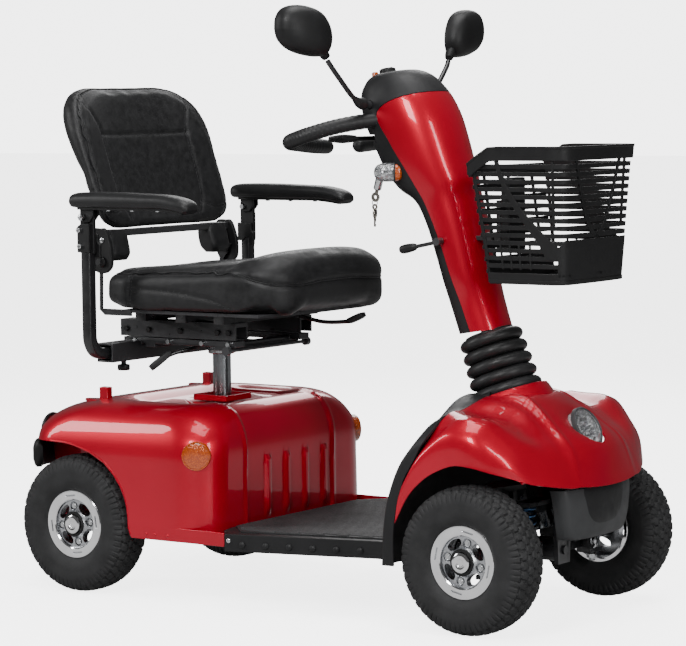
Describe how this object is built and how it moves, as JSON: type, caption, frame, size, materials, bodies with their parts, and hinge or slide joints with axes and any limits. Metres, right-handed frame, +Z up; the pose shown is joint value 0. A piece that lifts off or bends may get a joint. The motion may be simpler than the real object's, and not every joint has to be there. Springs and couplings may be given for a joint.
{
  "type": "mobility scooter",
  "caption": "Four-wheel electric mobility scooter: swivel seat on a post, folding backrest and arms, steered front wheels, tilting tiller with mirrors and basket.",
  "frame": {"origin": "centre of the bounding box, on the floor", "axes": "+X forward, +Y to the rider's left, +Z up"},
  "size_m": [1.155, 0.6282, 1.0873],
  "materials": {
    "red_paint": "clear-coated gloss",
    "black_plastic": "grained matt",
    "grey_plastic": "grained matt",
    "black_metal": "powder coat",
    "chrome": "polished",
    "steel": "brushed",
    "tyre": "moulded rubber",
    "vinyl": "grained vinyl",
    "rubber": "ribbed rubber",
    "amber": "clear amber",
    "clear_lens": "clear",
    "spring_blue": "painted wire",
    "battery_case": "plain"
  },
  "bodies": {
    "chassis": {"main_frame": "black_metal", "transaxle": "grey_plastic", "drive_motor": "black_metal", "battery_left": "battery_case", "battery_right": "battery_case", "rear_cover": "red_paint", "post_collar": "red_paint", "rear_bumper": "black_plastic", "floor_pan": "grey_plastic", "foot_mat": "rubber", "front_cover": "red_paint", "leg_shield": "black_plastic", "front_bumper": "grey_plastic", "headlight": "clear_lens", "spring_left": "spring_blue", "spring_right": "spring_blue"},
    "front_axle": {"front_axle": "black_metal"},
    "spindle_left": {"spindle_left": "steel"},
    "spindle_right": {"spindle_right": "steel"},
    "tie_rod": {"tie_rod": "steel"},
    "steering": {"steering_stem": "steel", "bellows": "rubber"},
    "tiller": {"tiller_tube": "steel", "tiller_front_cover": "red_paint", "tiller_rear_cover": "black_plastic", "indicator_left": "clear_lens", "indicator_right": "clear_lens", "handlebar": "rubber", "basket_bracket": "black_metal"},
    "throttle": {"throttle_lever": "grey_plastic"},
    "dial": {"speed_dial": "black_plastic"},
    "horn": {"horn_button": "amber"},
    "key": {"ignition_key": "chrome"},
    "tilt_lever": {"tilt_lever": "black_plastic"},
    "basket": {"basket": "black_plastic"},
    "seat_post": {"seat_post": "steel"},
    "swivel": {"swivel_base": "black_metal"},
    "carriage": {"seat_carriage": "black_metal", "seat_cushion": "vinyl"},
    "back": {"back_frame": "black_metal", "back_cushion": "vinyl"},
    "swivel_lever": {"swivel_lever": "black_plastic"},
    "slide_lever": {"slide_lever": "black_plastic"},
    "freewheel": {"freewheel_lever": "amber"},
    "wheel_front_left": {"tyre_front_left": "tyre", "rim_front_left": "chrome"},
    "wheel_rear_left": {"tyre_rear_left": "tyre", "rim_rear_left": "chrome"},
    "mirror_stalk_left": {"mirror_stalk_left": "black_metal"},
    "mirror_head_left": {"mirror_head_left": "black_plastic"},
    "arm_left": {"arm_tube_left": "black_metal"},
    "armrest_left": {"armrest_left": "black_plastic"},
    "wheel_front_right": {"tyre_front_right": "tyre", "rim_front_right": "chrome"},
    "wheel_rear_right": {"tyre_rear_right": "tyre", "rim_rear_right": "chrome"},
    "mirror_stalk_right": {"mirror_stalk_right": "black_metal"},
    "mirror_head_right": {"mirror_head_right": "black_plastic"},
    "arm_right": {"arm_tube_right": "black_metal"},
    "armrest_right": {"armrest_right": "black_plastic"}
  },
  "joints": [
    {"name": "steer", "type": "hinge", "parent": "chassis", "child": "steering", "pos_m": [0.3415, 0, 0.451], "axis": [-0.342, 0, 0.9397], "range_deg": [-25, 25]},
    {"name": "axle_rock", "type": "hinge", "parent": "chassis", "child": "front_axle", "pos_m": [0.4285, 0, 0.12], "axis": [1, 0, 0], "range_deg": [-4, 4], "stiffness_Nm_per_rad": 180, "deforming": ["spring_left", "spring_right"]},
    {"name": "kingpin_left", "type": "hinge", "parent": "front_axle", "child": "spindle_left", "pos_m": [0.4285, 0.181, 0.124], "axis": [0, 0, 1], "range_deg": [-25, 25]},
    {"name": "kingpin_right", "type": "hinge", "parent": "front_axle", "child": "spindle_right", "pos_m": [0.4285, -0.181, 0.124], "axis": [0, 0, 1], "range_deg": [-25, 25]},
    {"name": "tie_rod_pivot", "type": "hinge", "parent": "spindle_left", "child": "tie_rod", "pos_m": [0.3685, 0.181, 0.14], "axis": [0, 0, 1], "range_deg": [-25, 25]},
    {"name": "front_wheel_left", "type": "hinge", "parent": "spindle_left", "child": "wheel_front_left", "pos_m": [0.4285, 0.23, 0.13], "axis": [0, 1, 0], "continuous": true},
    {"name": "rear_wheel_left", "type": "hinge", "parent": "chassis", "child": "wheel_rear_left", "pos_m": [-0.4355, 0.234, 0.13], "axis": [0, 1, 0], "continuous": true},
    {"name": "front_wheel_right", "type": "hinge", "parent": "spindle_right", "child": "wheel_front_right", "pos_m": [0.4285, -0.23, 0.13], "axis": [0, 1, 0], "continuous": true},
    {"name": "rear_wheel_right", "type": "hinge", "parent": "chassis", "child": "wheel_rear_right", "pos_m": [-0.4355, -0.234, 0.13], "axis": [0, 1, 0], "continuous": true},
    {"name": "tiller_tilt", "type": "hinge", "parent": "steering", "child": "tiller", "pos_m": [0.30729, 0, 0.545], "axis": [0, 1, 0], "range_deg": [-10, 12], "deforming": ["bellows"]},
    {"name": "throttle_turn", "type": "hinge", "parent": "tiller", "child": "throttle", "pos_m": [0.1205, 0, 0.85], "axis": [0, 0, 1], "range_deg": [-15, 15], "stiffness_Nm_per_rad": 0.4},
    {"name": "dial_turn", "type": "hinge", "parent": "tiller", "child": "dial", "pos_m": [0.1095, 0, 0.9654], "axis": [-0.1568, 0, 0.9876], "range_deg": [-135, 135]},
    {"name": "horn_press", "type": "slide", "parent": "tiller", "child": "horn", "axis": [0.1521, 0, -0.9884], "range_m": [0, 0.003], "stiffness_N_per_m": 300},
    {"name": "key_turn", "type": "hinge", "parent": "tiller", "child": "key", "pos_m": [0.1165, -0.034, 0.794], "axis": [0.273, 0, 0.962], "range_deg": [0, 80]},
    {"name": "tilt_lever_lift", "type": "hinge", "parent": "tiller", "child": "tilt_lever", "pos_m": [0.2605, -0.07, 0.667], "axis": [0, 1, 0], "range_deg": [0, 25]},
    {"name": "mirror_arm_left", "type": "hinge", "parent": "tiller", "child": "mirror_stalk_left", "pos_m": [0.1205, 0.09, 0.9124], "axis": [0, 0.9938, 0.1111], "range_deg": [-15, 15]},
    {"name": "mirror_tilt_left", "type": "hinge", "parent": "mirror_stalk_left", "child": "mirror_head_left", "pos_m": [0.1135, 0.197, 0.995], "axis": [0, 0, 1], "range_deg": [-15, 15]},
    {"name": "mirror_arm_right", "type": "hinge", "parent": "tiller", "child": "mirror_stalk_right", "pos_m": [0.1205, -0.09, 0.9124], "axis": [0, -0.9938, 0.1111], "range_deg": [-15, 15]},
    {"name": "mirror_tilt_right", "type": "hinge", "parent": "mirror_stalk_right", "child": "mirror_head_right", "pos_m": [0.1135, -0.197, 0.995], "axis": [0, 0, 1], "range_deg": [-15, 15]},
    {"name": "basket_lift", "type": "slide", "parent": "tiller", "child": "basket", "axis": [0, 0, 1], "range_m": [0, 0.08]},
    {"name": "seat_height", "type": "slide", "parent": "chassis", "child": "seat_post", "axis": [0, 0, 1], "range_m": [0, 0.08]},
    {"name": "seat_swivel", "type": "hinge", "parent": "seat_post", "child": "swivel", "pos_m": [-0.2825, 0, 0.455], "axis": [0, 0, 1], "range_deg": [-90, 90]},
    {"name": "seat_slide", "type": "slide", "parent": "swivel", "child": "carriage", "axis": [1, 0, 0], "range_m": [-0.05, 0.05]},
    {"name": "back_fold", "type": "hinge", "parent": "carriage", "child": "back", "pos_m": [-0.4115, 0, 0.621], "axis": [0, 1, 0], "range_deg": [0, 50]},
    {"name": "arm_width_left", "type": "slide", "parent": "swivel", "child": "arm_left", "axis": [0, 1, 0], "range_m": [0, 0.05]},
    {"name": "armrest_flip_left", "type": "hinge", "parent": "arm_left", "child": "armrest_left", "pos_m": [-0.4065, 0.248, 0.708], "axis": [0, -1, 0], "range_deg": [0, 95]},
    {"name": "arm_width_right", "type": "slide", "parent": "swivel", "child": "arm_right", "axis": [0, -1, 0], "range_m": [0, 0.05]},
    {"name": "armrest_flip_right", "type": "hinge", "parent": "arm_right", "child": "armrest_right", "pos_m": [-0.4065, -0.248, 0.708], "axis": [0, -1, 0], "range_deg": [0, 95]},
    {"name": "swivel_lever_lift", "type": "hinge", "parent": "swivel", "child": "swivel_lever", "pos_m": [-0.2855, -0.062, 0.457], "axis": [-1, 0, 0], "range_deg": [0, 10]},
    {"name": "slide_lever_lift", "type": "hinge", "parent": "carriage", "child": "slide_lever", "pos_m": [-0.1515, 0.07, 0.511], "axis": [0, -1, 0], "range_deg": [0, 5]},
    {"name": "freewheel_turn", "type": "hinge", "parent": "chassis", "child": "freewheel", "pos_m": [-0.5015, 0.06, 0.115], "axis": [0, -1, 0], "range_deg": [0, 20]}
  ],
  "couplings": [
    {"joint": "kingpin_left", "follows": "steer", "ratio": 1},
    {"joint": "kingpin_right", "follows": "steer", "ratio": 1},
    {"joint": "tie_rod_pivot", "follows": "steer", "ratio": -1}
  ]
}
